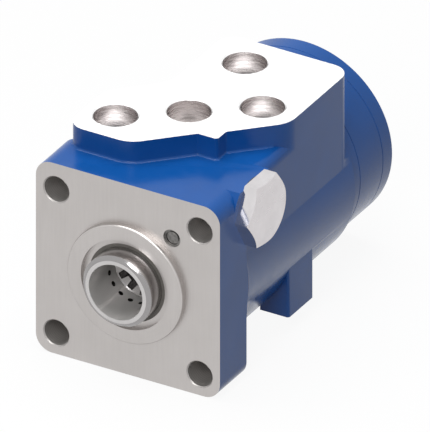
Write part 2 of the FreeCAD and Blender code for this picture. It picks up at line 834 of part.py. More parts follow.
def make_gerotor_ring():
    """Ring with seven round lobes inside, screwed through its lobes."""
    front = stack_ring_front
    back = stack_ring_back
    body = chamfered_disc(front, back)
    pocket = disc(pocket_radius, front - 1, back + 1)
    lobe = disc(lobe_radius, front - 2, back + 2, lobe_circle)
    pocket = pocket.cut(round_copies(lobe, lobe_count, first_lobe))
    hole = disc(screw_hole_radius, front - 1, back + 1, screw_circle)
    cuts = [pocket] + round_copies(hole, lobe_count, first_lobe)
    outer = stack_seal_outer + seat_clearance
    inner = stack_seal_inner - seat_clearance
    cuts.append(ring(outer, inner, front - 1, front + stack_seal_depth))
    cuts.append(ring(outer, inner, back - stack_seal_depth, back + 1))
    return one_solid(body.cut(cuts))


def star_outline(y):
    """The star's outline, rolled inside the lobes by the cycloid formula, in short tangent arcs."""
    points = []
    reach = lobe_radius + lobe_clearance
    for index in range(2 * star_arcs):
        turn = math.pi * index / star_arcs
        lean = math.atan2(math.sin((1 - lobe_count) * turn),
                          lobe_circle / (eccentricity * lobe_count) - math.cos((1 - lobe_count) * turn))
        x = (lobe_circle * math.cos(turn) - reach * math.cos(turn + lean)
             - eccentricity * math.cos(lobe_count * turn))
        z = (-lobe_circle * math.sin(turn) + reach * math.sin(turn + lean)
             + eccentricity * math.sin(lobe_count * turn))
        points.append(Vector(x + eccentricity, y, z))
    points.append(points[0])
    arcs = []
    for index in range(star_arcs):
        start, crown, end = points[2 * index:2 * index + 3]
        arcs.append(Part.Arc(start, crown, end).toShape())
    return Part.Wire(arcs)


def make_rotor_star():
    """Six-lobed star with the spline for the drive shaft, in mesh with the ring."""
    front = stack_ring_front + face_clearance
    back = stack_ring_back - face_clearance
    body = Part.Face(star_outline(front)).extrude(Vector(0, back - front, 0))
    body.rotate(ORIGIN, SHAFT_AXIS, -first_lobe)
    outline = splined_outline(drive_teeth, drive_root_radius + drive_radial_clearance,
                              drive_tip_radius + drive_radial_clearance,
                              drive_inner_share, drive_outer_share, front - 1)
    hole = Part.Face(outline).extrude(Vector(0, back - front + 2, 0))
    hole.translate(at_angle(eccentricity, first_lobe))
    return body.cut(hole)


def make_drive_shaft():
    """Shaft with a fork at the cross pin and a spline in the star, leaning to the star's centre."""
    spline_front = spline_middle - drive_spline_length / 2
    spline_back = spline_middle + drive_spline_length / 2
    body = turned([(shaft_head_front, 0), (shaft_head_front, shaft_head_radius - shaft_head_chamfer),
                   (shaft_head_front + shaft_head_chamfer, shaft_head_radius),
                   (shaft_head_back - shaft_head_taper, shaft_head_radius),
                   (shaft_head_back, shaft_neck_radius), (spline_front, shaft_neck_radius),
                   (spline_back, shaft_neck_radius), (spline_back, 0)])
    side = drive_side_clearance / drive_tip_radius * drive_teeth / math.pi
    outline = splined_outline(drive_teeth, drive_root_radius, drive_tip_radius,
                              drive_inner_share - side, drive_outer_share - side, spline_front)
    body = body.fuse(Part.Face(outline).extrude(Vector(0, spline_back - spline_front, 0)))
    width = pin_radius + fork_clearance
    slot_end = pin_place + fork_bottom
    slot = Part.makeBox(2 * width, slot_end - shaft_head_front + 1, 4 * shaft_head_radius,
                        Vector(-width, shaft_head_front - 1, -2 * shaft_head_radius))
    slot = slot.fuse(Part.makeCylinder(width, 4 * shaft_head_radius,
                                       Vector(0, slot_end, -2 * shaft_head_radius)))
    shaft = one_solid(body.cut(slot))
    shaft.rotate(Vector(0, pin_place, 0), Vector(1, 0, 0), -shaft_tilt)
    return shaft


def make_drive_spacer():
    """Loose disc in the star between the drive shaft and the end cap."""
    centre = at_angle(eccentricity, first_lobe)
    shaft_reach = (spline_middle + drive_spline_length / 2
                   + drive_tip_radius * math.sin(math.radians(shaft_tilt)))
    return disc(drive_spacer_radius, shaft_reach + drive_spacer_gap, stack_ring_back - face_clearance,
                centre.x, centre.z)


def stack_seal(front, back):
    """Square-section seal ring of the rotor stack."""
    return ring(stack_seal_outer, stack_seal_inner, front, back)


def make_end_cap():
    """End cap with countersunk holes."""
    front = stack_ring_back
    back = stack_back
    cap = turned([(front, 0), (front, stack_radius - stack_chamfer), (front + stack_chamfer, stack_radius),
                  (back - cap_chamfer, stack_radius), (back, stack_radius - cap_chamfer), (back, 0)])
    seat = screw_head_radius + screw_head_sink
    hole = turned([(front - 1, 0), (front - 1, screw_hole_radius),
                   (back - (seat - screw_hole_radius), screw_hole_radius), (back, seat),
                   (back + 1, seat), (back + 1, 0)], Vector(screw_circle, 0, 0))
    return cap.cut(round_copies(hole, lobe_count, first_lobe))


def make_cap_screws():
    """Seven countersunk socket screws from the end cap into the housing."""
    back = stack_back - screw_head_sink
    cone = screw_head_radius - screw_radius
    tip = housing_rear - screw_engagement
    screw = turned([(tip, 0), (tip, screw_radius), (back - cone, screw_radius),
                    (back, screw_head_radius), (back, 0)], Vector(screw_circle, 0, 0))
    key = hexagon(screw_key_flats, Vector(screw_circle, back - screw_key_depth, 0), screw_key_depth + 1,
                  SHAFT_AXIS, Vector(1, 0, 0))
    return Part.makeCompound(round_copies(screw.cut(key), lobe_count, first_lobe))


def inlet_floor():
    """Height of the seat of the check ball."""
    return port_face_height - port_thread_depth - inlet_chamber_depth


def make_check_ball():
    """Ball on the edge of the inlet passage."""
    x, y = port_places[1]
    rise = math.sqrt((ball_radius + seat_clearance) ** 2 - ball_seat_radius ** 2)
    return Part.makeSphere(ball_radius, Vector(x, y, inlet_floor() + rise + seat_clearance))


def make_ball_retainer():
    """Pressed ring that limits the lift of the check ball."""
    x, y = port_places[1]
    bottom = inlet_floor() + retainer_place
    radius = inlet_chamber_radius - seat_clearance
    return turned([(bottom, retainer_hole_radius), (bottom, radius), (bottom + retainer_thickness, radius),
                   (bottom + retainer_thickness, retainer_hole_radius)],
                  Vector(x, y, 0), Vector(0, 0, 1), Vector(1, 0, 0))


pieces = {
    "housing": make_housing(),
    "passage_plug": make_passage_plug(),
    "relief_plug": make_relief_plug(),
    "relief_plug_seal": make_relief_plug_seal(),
    "relief_seat": make_relief_seat(),
    "relief_poppet": make_relief_poppet(),
    "relief_spring": make_relief_spring(),
    "check_ball": make_check_ball(),
    "ball_retainer": make_ball_retainer(),
    "dust_seal": make_dust_seal(),
    "shaft_seal": make_shaft_seal(),
    "front_thrust_race": make_race(race_front),
    "thrust_needles": make_needles(),
    "needle_cage": make_cage(),
    "rear_thrust_race": make_race(needle_back),
    "spool": make_spool(),
    "valve_sleeve": make_sleeve(),
    "cross_pin": make_cross_pin(),
    "centering_springs": make_centering_springs(),
    "spring_ring": make_spring_ring(),
    "drive_shaft": make_drive_shaft(),
    "spacer_plate": make_spacer_plate(),
    "gerotor_ring": make_gerotor_ring(),
    "rotor_star": make_rotor_star(),
    "drive_spacer": make_drive_spacer(),
    "end_cap": make_end_cap(),
    "cap_screws": make_cap_screws(),
    "housing_seal": stack_seal(housing_rear - stack_seal_depth, housing_rear),
    "ring_front_seal": stack_seal(stack_ring_front, stack_ring_front + stack_seal_depth),
    "ring_rear_seal": stack_seal(stack_ring_back - stack_seal_depth, stack_ring_back),
}

os.makedirs("parts", exist_ok=True)
for name, shape in pieces.items():
    shape.exportStep("parts/" + name + ".step")
    print(name, len(shape.Solids), round(shape.Volume, 1), shape.isValid())
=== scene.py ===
import json
import math
import bpy
from mathutils import Matrix, Vector


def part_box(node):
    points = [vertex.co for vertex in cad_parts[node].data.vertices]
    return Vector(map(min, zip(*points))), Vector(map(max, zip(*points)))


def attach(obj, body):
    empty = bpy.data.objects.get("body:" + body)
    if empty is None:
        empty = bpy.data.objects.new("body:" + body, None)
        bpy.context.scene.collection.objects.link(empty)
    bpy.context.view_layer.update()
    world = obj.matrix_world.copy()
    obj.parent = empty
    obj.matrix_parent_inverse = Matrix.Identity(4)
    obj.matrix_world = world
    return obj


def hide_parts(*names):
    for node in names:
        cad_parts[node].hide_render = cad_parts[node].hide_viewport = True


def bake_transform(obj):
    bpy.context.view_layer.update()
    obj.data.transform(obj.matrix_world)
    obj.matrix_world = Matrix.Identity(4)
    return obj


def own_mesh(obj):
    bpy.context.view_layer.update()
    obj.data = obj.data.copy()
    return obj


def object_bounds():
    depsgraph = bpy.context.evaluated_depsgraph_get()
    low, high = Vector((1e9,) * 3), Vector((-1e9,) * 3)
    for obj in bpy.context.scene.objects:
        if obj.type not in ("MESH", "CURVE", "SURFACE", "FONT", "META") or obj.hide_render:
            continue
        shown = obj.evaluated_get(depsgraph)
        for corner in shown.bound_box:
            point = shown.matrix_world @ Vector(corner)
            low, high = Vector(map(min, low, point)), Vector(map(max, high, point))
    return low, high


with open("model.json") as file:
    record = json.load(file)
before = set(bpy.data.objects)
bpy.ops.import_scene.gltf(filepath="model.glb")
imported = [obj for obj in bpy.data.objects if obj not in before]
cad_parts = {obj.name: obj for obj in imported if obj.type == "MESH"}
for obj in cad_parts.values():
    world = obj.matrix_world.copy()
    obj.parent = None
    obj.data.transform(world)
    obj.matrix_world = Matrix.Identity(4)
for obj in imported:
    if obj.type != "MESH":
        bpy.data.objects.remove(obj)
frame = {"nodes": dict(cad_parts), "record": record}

cad_low, cad_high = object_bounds()


# The view: the photograph's corner-on angle, 30 degrees round and 30 degrees above the steering
# axis, through a lens so long that parallel edges stay parallel.
pixels_per_mm = 2.834
frame_height_px = 432
view_turn = math.radians(30)
view_rise = math.radians(30)
centre_right_mm = 30.73
centre_up_mm = 23.27
camera_distance = 0.9

view_right = Vector((math.cos(view_turn), math.sin(view_turn), 0))
view_back = Vector((
    math.sin(view_turn) * math.cos(view_rise),
    -math.cos(view_turn) * math.cos(view_rise),
    math.sin(view_rise),
))
view_up = view_back.cross(view_right)
camera_place = view_right * (centre_right_mm / 1000) + view_up * (centre_up_mm / 1000)
camera_place += view_back * camera_distance
camera_turn = Matrix((view_right, view_up, view_back)).transposed().to_4x4()

camera_data = bpy.data.cameras.new("camera")
camera_data.type = "ORTHO"
camera_data.sensor_fit = "VERTICAL"
camera_data.ortho_scale = frame_height_px / pixels_per_mm / 1000
camera = bpy.data.objects.new("camera", camera_data)
bpy.context.scene.collection.objects.link(camera)
camera.matrix_world = Matrix.Translation(camera_place) @ camera_turn
bpy.context.scene.camera = camera
bpy.context.scene.view_settings.view_transform = "Standard"


# The studio: a white room that shows in every gloss, a soft lamp overhead and a smaller one in
# front, and a white floor that keeps a light shadow. The room's own light is weak, so colours
# come out as they are written.
room_tint = (0.94, 0.97, 1.0, 1)
room_strength = 0.20
white = (1, 1, 1, 1)
white_strength = 1.0
room_white_share = 1.0
floor_grey = 0.40
floor_white_share = 0.85
floor_glow_strength = 1.09
floor_drop = 0.0002
floor_size = 4.0
lamp_target = Vector((0, 0.055, 0.005))


def white_to_eye_and_gloss(tree, plain, bright, out, share):
    """Shows the bright shader to the eye and to mirror rays, and the plain one to all other light."""
    path = tree.nodes.new("ShaderNodeLightPath")
    seen = tree.nodes.new("ShaderNodeMath")
    seen.operation = "MAXIMUM"
    through = tree.nodes.new("ShaderNodeMath")
    through.operation = "MAXIMUM"
    weight = tree.nodes.new("ShaderNodeMath")
    weight.operation = "MULTIPLY"
    weight.inputs[1].default_value = share
    mix = tree.nodes.new("ShaderNodeMixShader")
    tree.links.new(path.outputs["Is Camera Ray"], seen.inputs[0])
    tree.links.new(path.outputs["Is Glossy Ray"], seen.inputs[1])
    tree.links.new(seen.outputs[0], through.inputs[0])
    tree.links.new(path.outputs["Is Transmission Ray"], through.inputs[1])
    tree.links.new(through.outputs[0], weight.inputs[0])
    tree.links.new(weight.outputs[0], mix.inputs[0])
    tree.links.new(plain.outputs[0], mix.inputs[1])
    tree.links.new(bright.outputs[0], mix.inputs[2])
    tree.links.new(mix.outputs[0], out.inputs[0])


world = bpy.data.worlds.new("room")
bpy.context.scene.world = world
world.use_nodes = True
world.node_tree.nodes.clear()
room_light = world.node_tree.nodes.new("ShaderNodeBackground")
room_light.inputs["Color"].default_value = room_tint
room_light.inputs["Strength"].default_value = room_strength
room_white = world.node_tree.nodes.new("ShaderNodeBackground")
room_white.inputs["Color"].default_value = white
room_white.inputs["Strength"].default_value = white_strength
room_out = world.node_tree.nodes.new("ShaderNodeOutputWorld")
white_to_eye_and_gloss(world.node_tree, room_light, room_white, room_out, room_white_share)

for name, offset, width, power in (
    ("lamp_overhead", Vector((-0.10, 0.02, 0.75)), 0.70, 6.4),
    ("lamp_front", Vector((0.22, -0.80, 0.66)), 0.40, 3.6),
):
    lamp_data = bpy.data.lights.new(name, "AREA")
    lamp_data.shape = "SQUARE"
    lamp_data.size = width
    lamp_data.energy = power
    lamp = bpy.data.objects.new(name, lamp_data)
    bpy.context.scene.collection.objects.link(lamp)
    lamp.location = lamp_target + offset
    lamp.rotation_euler = offset.to_track_quat("Z", "Y").to_euler()

bpy.ops.object.select_all(action="DESELECT")
bpy.ops.mesh.primitive_plane_add(size=floor_size, location=(0, 0, cad_low[2] - floor_drop))
floor = bpy.context.object
floor.name = "floor"
floor_finish = bpy.data.materials.new("floor_finish")
floor_finish.use_nodes = True
floor_finish.node_tree.nodes.clear()
floor_matt = floor_finish.node_tree.nodes.new("ShaderNodeBsdfDiffuse")
floor_matt.inputs["Color"].default_value = (floor_grey, floor_grey, floor_grey, 1)
floor_glow = floor_finish.node_tree.nodes.new("ShaderNodeEmission")
floor_glow.inputs["Strength"].default_value = floor_glow_strength
floor_out = floor_finish.node_tree.nodes.new("ShaderNodeOutputMaterial")
white_to_eye_and_gloss(floor_finish.node_tree, floor_matt, floor_glow, floor_out, floor_white_share)
floor.data.materials.append(floor_finish)


# The housing: one iron casting, painted blue all over and then machined, so the mounting face
# and its boss, the port face and every bore are bare metal. Each face takes the finish of the
# tool that reached it last, but the port face and the port floors are painted near white: partly
# a lapped face, partly a painted highlight for the strong light on top.
paint_gloss = 0.27
weld_reach = 0.000001
plane_angle = 0.1
smooth_angle = 32
# Most of a pattern lies between these two of its values.
pattern_low = 0.3
pattern_high = 0.7
# Places this close count as the same, and a face is upright or level by its direction's z part.
skin = 0.00005
upright = 0.01
level = 0.999


def finish_of(name, metallic=0.0):
    """A new material, with its node tree and main shader."""
    material = bpy.data.materials.new(name)
    material.use_nodes = True
    shader = material.node_tree.nodes["Principled BSDF"]
    shader.inputs["Metallic"].default_value = metallic
    return material, material.node_tree, shader


def place_of(tree, stretch, centre=(0, 0, 0)):
    """Places on the piece in metres from a centre, stretched along each axis."""
    coordinates = tree.nodes.new("ShaderNodeTexCoord")
    mapping = tree.nodes.new("ShaderNodeMapping")
    mapping.inputs["Scale"].default_value = stretch
    mapping.inputs["Location"].default_value = [-c * s for c, s in zip(centre, stretch)]
    tree.links.new(coordinates.outputs["Object"], mapping.inputs["Vector"])
    return mapping.outputs[0]


def grain(tree, cell, detail=3.0, stretch=(1, 1, 1)):
    """Cloudy grain with cells of about the given width, from 0 to 1."""
    noise = tree.nodes.new("ShaderNodeTexNoise")
    noise.inputs["Scale"].default_value = 1 / cell
    noise.inputs["Detail"].default_value = detail
    tree.links.new(place_of(tree, stretch), noise.inputs["Vector"])
    return noise.outputs["Fac"]


def tool_lines(tree, pitch, kind, axis, centre=(0, 0, 0), wander=2.0):
    """The lines that a tool leaves: RINGS round an axis, or BANDS along it, from 0 to 1."""
    wave = tree.nodes.new("ShaderNodeTexWave")
    wave.wave_type = kind
    wave.rings_direction = axis
    wave.bands_direction = axis
    # At a scale of 1 this texture repeats after a tenth of pi.
    wave.inputs["Scale"].default_value = math.pi / (10 * pitch)
    wave.inputs["Distortion"].default_value = wander
    wave.inputs["Detail"].default_value = 2.0
    tree.links.new(place_of(tree, (1, 1, 1), centre), wave.inputs["Vector"])
    return wave.outputs["Fac"]


def both(tree, first, second, share):
    """Two patterns laid over each other, with the second one's share."""
    mix = tree.nodes.new("ShaderNodeMix")
    mix.inputs[0].default_value = share
    tree.links.new(first, mix.inputs[2])
    tree.links.new(second, mix.inputs[3])
    return mix.outputs[0]


def colour_by(tree, shader, pattern, dark, light):
    """Colours the surface between two tones, as the pattern goes."""
    ramp = tree.nodes.new("ShaderNodeValToRGB")
    ramp.color_ramp.elements[0].position = pattern_low
    ramp.color_ramp.elements[0].color = (*dark, 1)
    ramp.color_ramp.elements[1].position = pattern_high
    ramp.color_ramp.elements[1].color = (*light, 1)
    tree.links.new(pattern, ramp.inputs[0])
    tree.links.new(ramp.outputs[0], shader.inputs["Base Color"])


def roughness_by(tree, shader, pattern, low, high):
    """Spreads the roughness between two values, as the pattern goes."""
    spread = tree.nodes.new("ShaderNodeMapRange")
    spread.inputs["From Min"].default_value = pattern_low
    spread.inputs["From Max"].default_value = pattern_high
    spread.inputs["To Min"].default_value = low
    spread.inputs["To Max"].default_value = high
    tree.links.new(pattern, spread.inputs["Value"])
    tree.links.new(spread.outputs[0], shader.inputs["Roughness"])


def emboss(tree, shader, pattern, height):
    """Raises the surface by the pattern, over whatever relief it has already."""
    bump = tree.nodes.new("ShaderNodeBump")
    bump.inputs["Distance"].default_value = height
    normal = shader.inputs["Normal"]
    if normal.is_linked:
        tree.links.new(normal.links[0].from_socket, bump.inputs["Normal"])
    tree.links.new(pattern, bump.inputs["Height"])
    tree.links.new(bump.outputs[0], normal)


def joined_copy(node, name, angle=smooth_angle):
    """A copy of a CAD node as a piece of its own, with loose facets joined and round faces smooth."""
    source = frame["nodes"][node]
    copy = bpy.data.objects.new(name, source.data.copy())
    bpy.context.scene.collection.objects.link(copy)
    copy.data.materials.clear()
    bpy.ops.object.select_all(action="DESELECT")
    copy.select_set(True)
    bpy.context.view_layer.objects.active = copy
    bpy.ops.object.mode_set(mode="EDIT")
    bpy.ops.mesh.select_all(action="SELECT")
    bpy.ops.mesh.remove_doubles(threshold=weld_reach)
    bpy.ops.mesh.customdata_custom_splitnormals_clear()
    bpy.ops.object.mode_set(mode="OBJECT")
    bpy.ops.object.shade_smooth_by_angle(angle=math.radians(angle))
    return copy


def pick(piece, kind, wanted):
    """Goes into edit mode with only the wanted edges (EDGE) or faces (FACE) selected."""
    bpy.ops.object.select_all(action="DESELECT")
    piece.select_set(True)
    bpy.context.view_layer.objects.active = piece
    bpy.ops.object.mode_set(mode="EDIT")
    bpy.ops.mesh.select_mode(type=kind)
    bpy.ops.mesh.select_all(action="DESELECT")
    bpy.ops.object.mode_set(mode="OBJECT")
    for element in piece.data.edges if kind == "EDGE" else piece.data.polygons:
        element.select = wanted(element)
    bpy.ops.object.mode_set(mode="EDIT")


def both_ends(piece, test):
    """A test of an edge, which passes where both of its ends pass the given test."""
    return lambda edge: all(test(piece.data.vertices[index].co) for index in edge.key)


def merge_facets(piece, wanted):
    """Joins the wanted facets of each plane into one face, so that a bevel along them is clean."""
    pick(piece, "FACE", wanted)
    bpy.ops.mesh.dissolve_limited(angle_limit=math.radians(plane_angle))
    bpy.ops.object.mode_set(mode="OBJECT")


def round_edges(piece, wanted, width, angle):
    """Rounds the wanted edges and smooths the piece again."""
    pick(piece, "EDGE", wanted)
    bpy.ops.mesh.bevel(offset=width, segments=3, affect="EDGES", clamp_overlap=False)
    bpy.ops.object.mode_set(mode="OBJECT")
    bpy.ops.object.shade_smooth_by_angle(angle=math.radians(angle), keep_sharp_edges=False)


def dress(piece, finishes, finish_at):
    """Gives each face of a piece one of its finishes, by the face's place and direction."""
    for material in finishes:
        piece.data.materials.append(material)
    for face in piece.data.polygons:
        face.material_index = finishes.index(finish_at(face.center, face.normal))


def from_axis(place):
    """How far a place is from the steering axis."""
    return math.hypot(place.x, place.z)


blue_paint, tree, shader = finish_of("blue_paint")
shader.inputs["Specular IOR Level"].default_value = paint_gloss
colour_by(tree, shader, grain(tree, 0.016), (0.0034, 0.070, 0.285), (0.0042, 0.078, 0.315))
roughness_by(tree, shader, grain(tree, 0.004), 0.17, 0.25)
emboss(tree, shader, grain(tree, 0.0028, detail=2.0), 0.000010)
emboss(tree, shader, grain(tree, 0.0006, detail=1.0), 0.0000015)

milled_iron, tree, shader = finish_of("milled_iron", metallic=1.0)
streaks = grain(tree, 0.0009, stretch=(1, 1, 0.05))
clouds = grain(tree, 0.012)
colour_by(tree, shader, both(tree, streaks, clouds, 0.4), (0.508, 0.482, 0.468), (0.560, 0.533, 0.520))
roughness_by(tree, shader, streaks, 0.36, 0.46)
emboss(tree, shader, streaks, 0.000003)

turned_iron, tree, shader = finish_of("turned_iron", metallic=1.0)
rings = tool_lines(tree, 0.0006, "RINGS", "Y")
clouds = grain(tree, 0.006)
colour_by(tree, shader, both(tree, rings, clouds, 0.6), (0.500, 0.475, 0.460), (0.560, 0.534, 0.520))
roughness_by(tree, shader, rings, 0.28, 0.36)
emboss(tree, shader, rings, 0.000002)

# Milled iron painted near white for the port face and port floors: partly a lapped face, partly a
# painted highlight.
milled_painted_highlight, tree, shader = finish_of("milled_painted_highlight", metallic=0.9)
arcs = tool_lines(tree, 0.0024, "RINGS", "Z", centre=(-0.06, 0.02, 0), wander=0.6)
clouds = grain(tree, 0.010)
colour_by(tree, shader, both(tree, arcs, clouds, 0.6), (0.93, 0.93, 0.93), (0.97, 0.97, 0.97))
roughness_by(tree, shader, arcs, 0.30, 0.38)
emboss(tree, shader, arcs, 0.000002)

port_iron, tree, shader = finish_of("port_iron", metallic=1.0)
bands = tool_lines(tree, 0.0015, "BANDS", "Z", wander=0.1)
clouds = grain(tree, 0.004)
colour_by(tree, shader, both(tree, bands, clouds, 0.5), (0.62, 0.580, 0.575), (0.70, 0.660, 0.655))
roughness_by(tree, shader, bands, 0.24, 0.32)
emboss(tree, shader, bands, 0.000004)

drilled_iron, tree, shader = finish_of("drilled_iron", metallic=0.6)
bands = tool_lines(tree, 0.0010, "BANDS", "Y", wander=0.8)
clouds = grain(tree, 0.003)
colour_by(tree, shader, both(tree, bands, clouds, 0.5), (0.42, 0.400, 0.385), (0.50, 0.480, 0.465))
roughness_by(tree, shader, bands, 0.38, 0.50)
emboss(tree, shader, bands, 0.000002)

mounts = {mount["name"]: mount for mount in frame["record"]["mounts"]}
ports = [mount for mount in mounts.values() if mount["kind"] == "threaded_hole"]
port_radius = ports[0]["dims"]["r_mm"] / 1000
port_wall_tilt = 0.3
bolt_half = mounts["column_bolts"]["dims"]["spacing_x_mm"] / 2000
bolt_radius = mounts["column_bolts"]["dims"]["hole_r_mm"] / 1000
bolt_places = [(x * bolt_half, z * bolt_half) for x in (-1, 1) for z in (-1, 1)]
bolt_reach = 0.0145
rim_slack = 0.0009
passage_low, passage_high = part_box("passage_plug")
passage_x = (passage_low[0] + passage_high[0]) / 2
passage_z = (passage_low[2] + passage_high[2]) / 2
passage_radius = 0.0038
passage_reach = 0.01
boss_edge_radius = 0.0245
valve_reach = 0.0235
port_face_z = mounts["port_face"]["pos_m"][2]
shelf_drop = 0.0087
shelf_z = port_face_z - shelf_drop
shelf_fillet = 0.0009
housing_low, housing_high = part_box("housing")
barrel_inset = 0.0006
right_wall_inset = 0.0022
left_wall_inset = 0.0049
barrel_radius = housing_high[0] - barrel_inset
right_wall = housing_high[0] - right_wall_inset
left_wall = housing_low[0] + left_wall_inset


def housing_finish(centre, out):
    """The finish of one face of the housing."""
    for port in ports:
        x, y = port["pos_m"][:2]
        if math.hypot(centre.x - x, centre.y - y) < port_radius + rim_slack and centre.z > 0:
            on_wall = centre.z < port_face_z - skin and abs(out.z) < port_wall_tilt
            # Port floors and the port face are painted near white, a painted highlight.
            return port_iron if on_wall else milled_painted_highlight
    if centre.z > port_face_z - skin:
        return milled_painted_highlight
    if centre.y < skin:
        on_boss = from_axis(centre) < boss_edge_radius and out.y > -level
        return turned_iron if on_boss else milled_iron
    for x, z in bolt_places:
        if math.hypot(centre.x - x, centre.z - z) < bolt_radius + rim_slack and centre.y < bolt_reach:
            return drilled_iron
    if centre.y < passage_reach:
        if math.hypot(centre.x - passage_x, centre.z - passage_z) < passage_radius:
            return drilled_iron
    return turned_iron if from_axis(centre) < valve_reach else blue_paint


housing = joined_copy("housing", "housing_casting")
merge_facets(housing, lambda face: (
    face.center.z > shelf_z - skin and abs(face.normal.z) < upright
    or abs(face.center.z - shelf_z) < skin and face.normal.z > level))
wall_feet = set()
for face in housing.data.polygons:
    if abs(face.normal.z) < upright and face.center.z > shelf_z:
        for key in face.edge_keys:
            if all(abs(housing.data.vertices[index].co.z - shelf_z) < skin for index in key):
                wall_feet.add(key)
round_edges(housing, lambda edge: edge.key in wall_feet, shelf_fillet, smooth_angle)
for wall in (left_wall, right_wall):
    crease_z = math.sqrt(barrel_radius ** 2 - wall ** 2)
    pick(housing, "EDGE", both_ends(housing, lambda end: (
        abs(end.x - wall) < skin and abs(abs(end.z) - crease_z) < skin)))
    bpy.ops.mesh.mark_sharp()
    bpy.ops.object.mode_set(mode="OBJECT")
dress(housing, [blue_paint, milled_iron, turned_iron, milled_painted_highlight, port_iron, drilled_iron],
      housing_finish)
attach(housing, "housing_unit")
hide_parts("housing")


# The passage plug: a small steel plug pressed into the drilled way that feeds the relief valve,
# oxide black from its heat treatment, with a shallow dimple from the press tool.
oxide_steel, tree, shader = finish_of("oxide_steel", metallic=1.0)
spots = grain(tree, 0.0016, detail=4.0)
colour_by(tree, shader, spots, (0.10, 0.098, 0.095), (0.28, 0.27, 0.26))
roughness_by(tree, shader, spots, 0.34, 0.5)
emboss(tree, shader, spots, 0.00002)

passage_plug = joined_copy("passage_plug", "passage_plug_pressed")
passage_plug.data.materials.append(oxide_steel)
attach(passage_plug, "housing_unit")
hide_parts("passage_plug")


# The spool: the hollow steel shaft whose hub stands out of the flange. Its outside is ground, its
# front ring polished and the edge rounded, its mouth bored smooth for the column's shaft, which
# turns it by the internal spline behind. The mouth's bore is painted near white, painted light in
# the recess, and the rim chamfer and the spline take a darker copy of the steel, painted shade.
polished_steel, tree, shader = finish_of("polished_steel", metallic=1.0)
bands = tool_lines(tree, 0.0005, "BANDS", "Y", wander=1.0)
clouds = grain(tree, 0.005)
colour_by(tree, shader, both(tree, bands, clouds, 0.6), (0.50, 0.485, 0.485), (0.58, 0.565, 0.56))
roughness_by(tree, shader, both(tree, bands, grain(tree, 0.003), 0.5), 0.12, 0.20)
emboss(tree, shader, bands, 0.0000006)

ground_land, tree, shader = finish_of("ground_land", metallic=1.0)
bands = tool_lines(tree, 0.0005, "BANDS", "Y", wander=1.0)
clouds = grain(tree, 0.005)
colour_by(tree, shader, both(tree, bands, clouds, 0.6), (0.50, 0.485, 0.485), (0.58, 0.565, 0.56))
roughness_by(tree, shader, bands, 0.16, 0.24)
emboss(tree, shader, bands, 0.0000006)

# A darker copy of the spool's steel, painted shade on the rim chamfer and on the spline behind the
# mouth.
steel_painted_shade, tree, shader = finish_of("steel_painted_shade", metallic=1.0)
rings = tool_lines(tree, 0.0003, "RINGS", "Y", wander=1.0)
colour_by(tree, shader, rings, (0.30, 0.29, 0.29), (0.36, 0.35, 0.35))
roughness_by(tree, shader, rings, 0.10, 0.16)
emboss(tree, shader, rings, 0.0000006)

# Steel painted near white for the mouth's bore, painted light inside the recess.
bore_painted_light, tree, shader = finish_of("bore_painted_light", metallic=0.6)
bands = tool_lines(tree, 0.0008, "BANDS", "Y", wander=1.5)
clouds = grain(tree, 0.004)
colour_by(tree, shader, both(tree, bands, clouds, 0.5), (0.90, 0.880, 0.860), (0.96, 0.940, 0.920))
roughness_by(tree, shader, bands, 0.16, 0.24)
emboss(tree, shader, bands, 0.000003)

spool_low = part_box("spool")[0]
spool_front = spool_low[1] + skin
mouth_radius = mounts["hub_mouth"]["dims"]["r_mm"] / 1000
mouth_floor = spool_low[1] + mounts["hub_mouth"]["dims"]["length_mm"] / 1000
rim_edge = 0.0125
rim_round = 0.0008
rim_slope_low = 0.2
rim_slope_high = 0.95
spool_smooth_angle = 28


def spool_finish(centre, out):
    """The finish of one face of the spool."""
    # The mouth's bore is painted light; the spline and the rim chamfer are painted shade.
    if from_axis(centre) < mouth_radius + skin and centre.y > spool_front:
        return bore_painted_light if centre.y < mouth_floor - skin else steel_painted_shade
    if centre.y < 0 and rim_slope_low < -out.y < rim_slope_high:
        return steel_painted_shade
    return ground_land if centre.y > spool_front else polished_steel


spool = joined_copy("spool", "spool_polished", angle=spool_smooth_angle)
merge_facets(spool, lambda face: face.center.y < 0 and from_axis(face.center) > mouth_radius + skin)
hub_rim = both_ends(spool, lambda end: end.y < spool_front and from_axis(end) > rim_edge)
round_edges(spool, hub_rim, rim_round, spool_smooth_angle)
dress(spool, [polished_steel, bore_painted_light, steel_painted_shade, ground_land], spool_finish)
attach(spool, "spool_unit")
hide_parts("spool")


# The relief plug: a large hexagon plug, zinc plated and turned at its crown, with brighter flats,
# screwed down on its sealing ring in the right side of the housing.
zinc_plate, tree, shader = finish_of("zinc_plate", metallic=0.9)
clouds = grain(tree, 0.005)
colour_by(tree, shader, clouds, (0.635, 0.605, 0.615), (0.69, 0.66, 0.67))
roughness_by(tree, shader, grain(tree, 0.004), 0.27, 0.31)
emboss(tree, shader, grain(tree, 0.003, detail=1.0), 0.0000003)

bright_flats, tree, shader = finish_of("bright_flats", metallic=1.0)
film = grain(tree, 0.004)
colour_by(tree, shader, film, (0.66, 0.64, 0.65), (0.72, 0.70, 0.71))
roughness_by(tree, shader, film, 0.07, 0.12)
emboss(tree, shader, film, 0.0000005)

flat_tilt = 0.1


def plug_finish(centre, out):
    """The finish of one face of the relief plug."""
    return bright_flats if abs(out.x) < flat_tilt and centre.x > housing_high[0] else zinc_plate


relief_plug = joined_copy("relief_plug", "relief_plug_plated", angle=20)
dress(relief_plug, [zinc_plate, bright_flats], plug_finish)
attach(relief_plug, "housing_unit")
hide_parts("relief_plug")


# The stack behind the housing: spacer plate, gerotor ring and end cap, three steel discs clamped
# on by the cap screws and painted with the housing, so their joints show as fine lines. Their
# joint faces and all that is inside them stay bare.
disc_rim_depth = 0.0012
cap_back_depth = 0.0015


